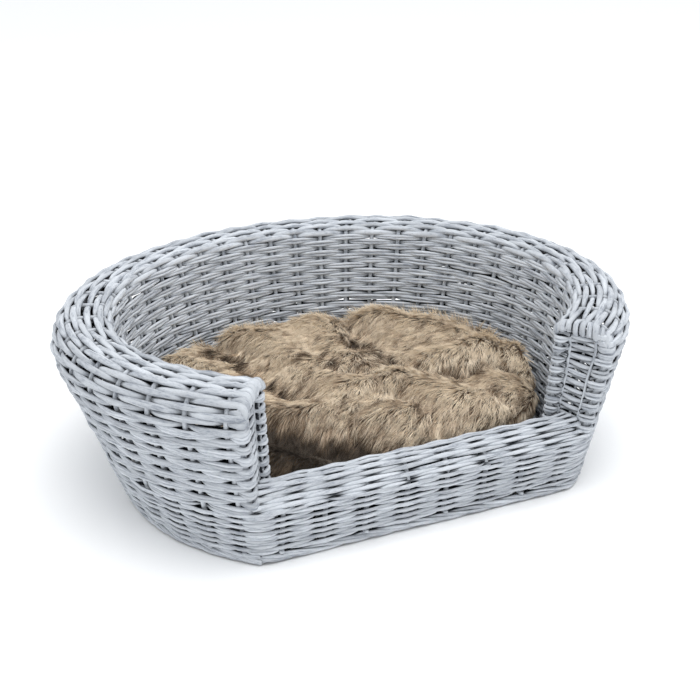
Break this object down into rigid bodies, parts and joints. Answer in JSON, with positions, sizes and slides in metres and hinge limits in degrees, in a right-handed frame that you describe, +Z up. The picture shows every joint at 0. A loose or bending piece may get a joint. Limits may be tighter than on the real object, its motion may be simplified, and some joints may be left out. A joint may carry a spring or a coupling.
{
  "type": "wicker pet bed basket",
  "caption": "Horseshoe-shaped double-walled willow pet basket with a thick rolled rim, a low front sill and a loose long-pile cushion that lifts out",
  "frame": {"origin": "middle of the width and of the depth, on the floor plane", "axes": "+X to the right across the basket, +Y to the back wall, -Y the open front with the sill, +Z up"},
  "size_m": [0.57, 0.4599, 0.175],
  "materials": {
    "willow": "whitewashed blue-grey, matt, dry-brushed, darker in the gaps",
    "frame_wood": "stained hoop rod, matt, hidden inside the wall",
    "long_pile_fabric": "long-pile artificial fur, brown-taupe with light tips",
    "plain_cover": "plain woven polyester, matt",
    "fibre_filling": "loose white polyester fibre"
  },
  "bodies": {
    "basket": {"outer_wall_weave": "willow", "rim_weave": "willow", "inner_wall_weave": "willow", "sill_top_weave": "willow", "sill_inner_weave": "willow", "left_end_weave": "willow", "right_end_weave": "willow", "left_outer_post": "willow", "left_inner_post": "willow", "right_outer_post": "willow", "right_inner_post": "willow", "wall_stakes": "willow", "sill_stakes": "willow", "outer_rim_hoop": "frame_wood", "inner_rim_hoop": "frame_wood", "floor_hoop": "frame_wood", "sill_front_rail": "frame_wood", "sill_back_rail": "frame_wood", "foot_border": "willow", "base_sticks": "willow", "base_weave": "willow"},
    "cushion": {"cushion_fur_top": "long_pile_fabric", "cushion_base_cover": "plain_cover", "cushion_filling": "fibre_filling"}
  },
  "joints": [
    {"name": "cushion_lift", "type": "slide", "parent": "basket", "child": "cushion", "axis": [0, 0, 1], "range_m": [0, 0.2]}
  ]
}
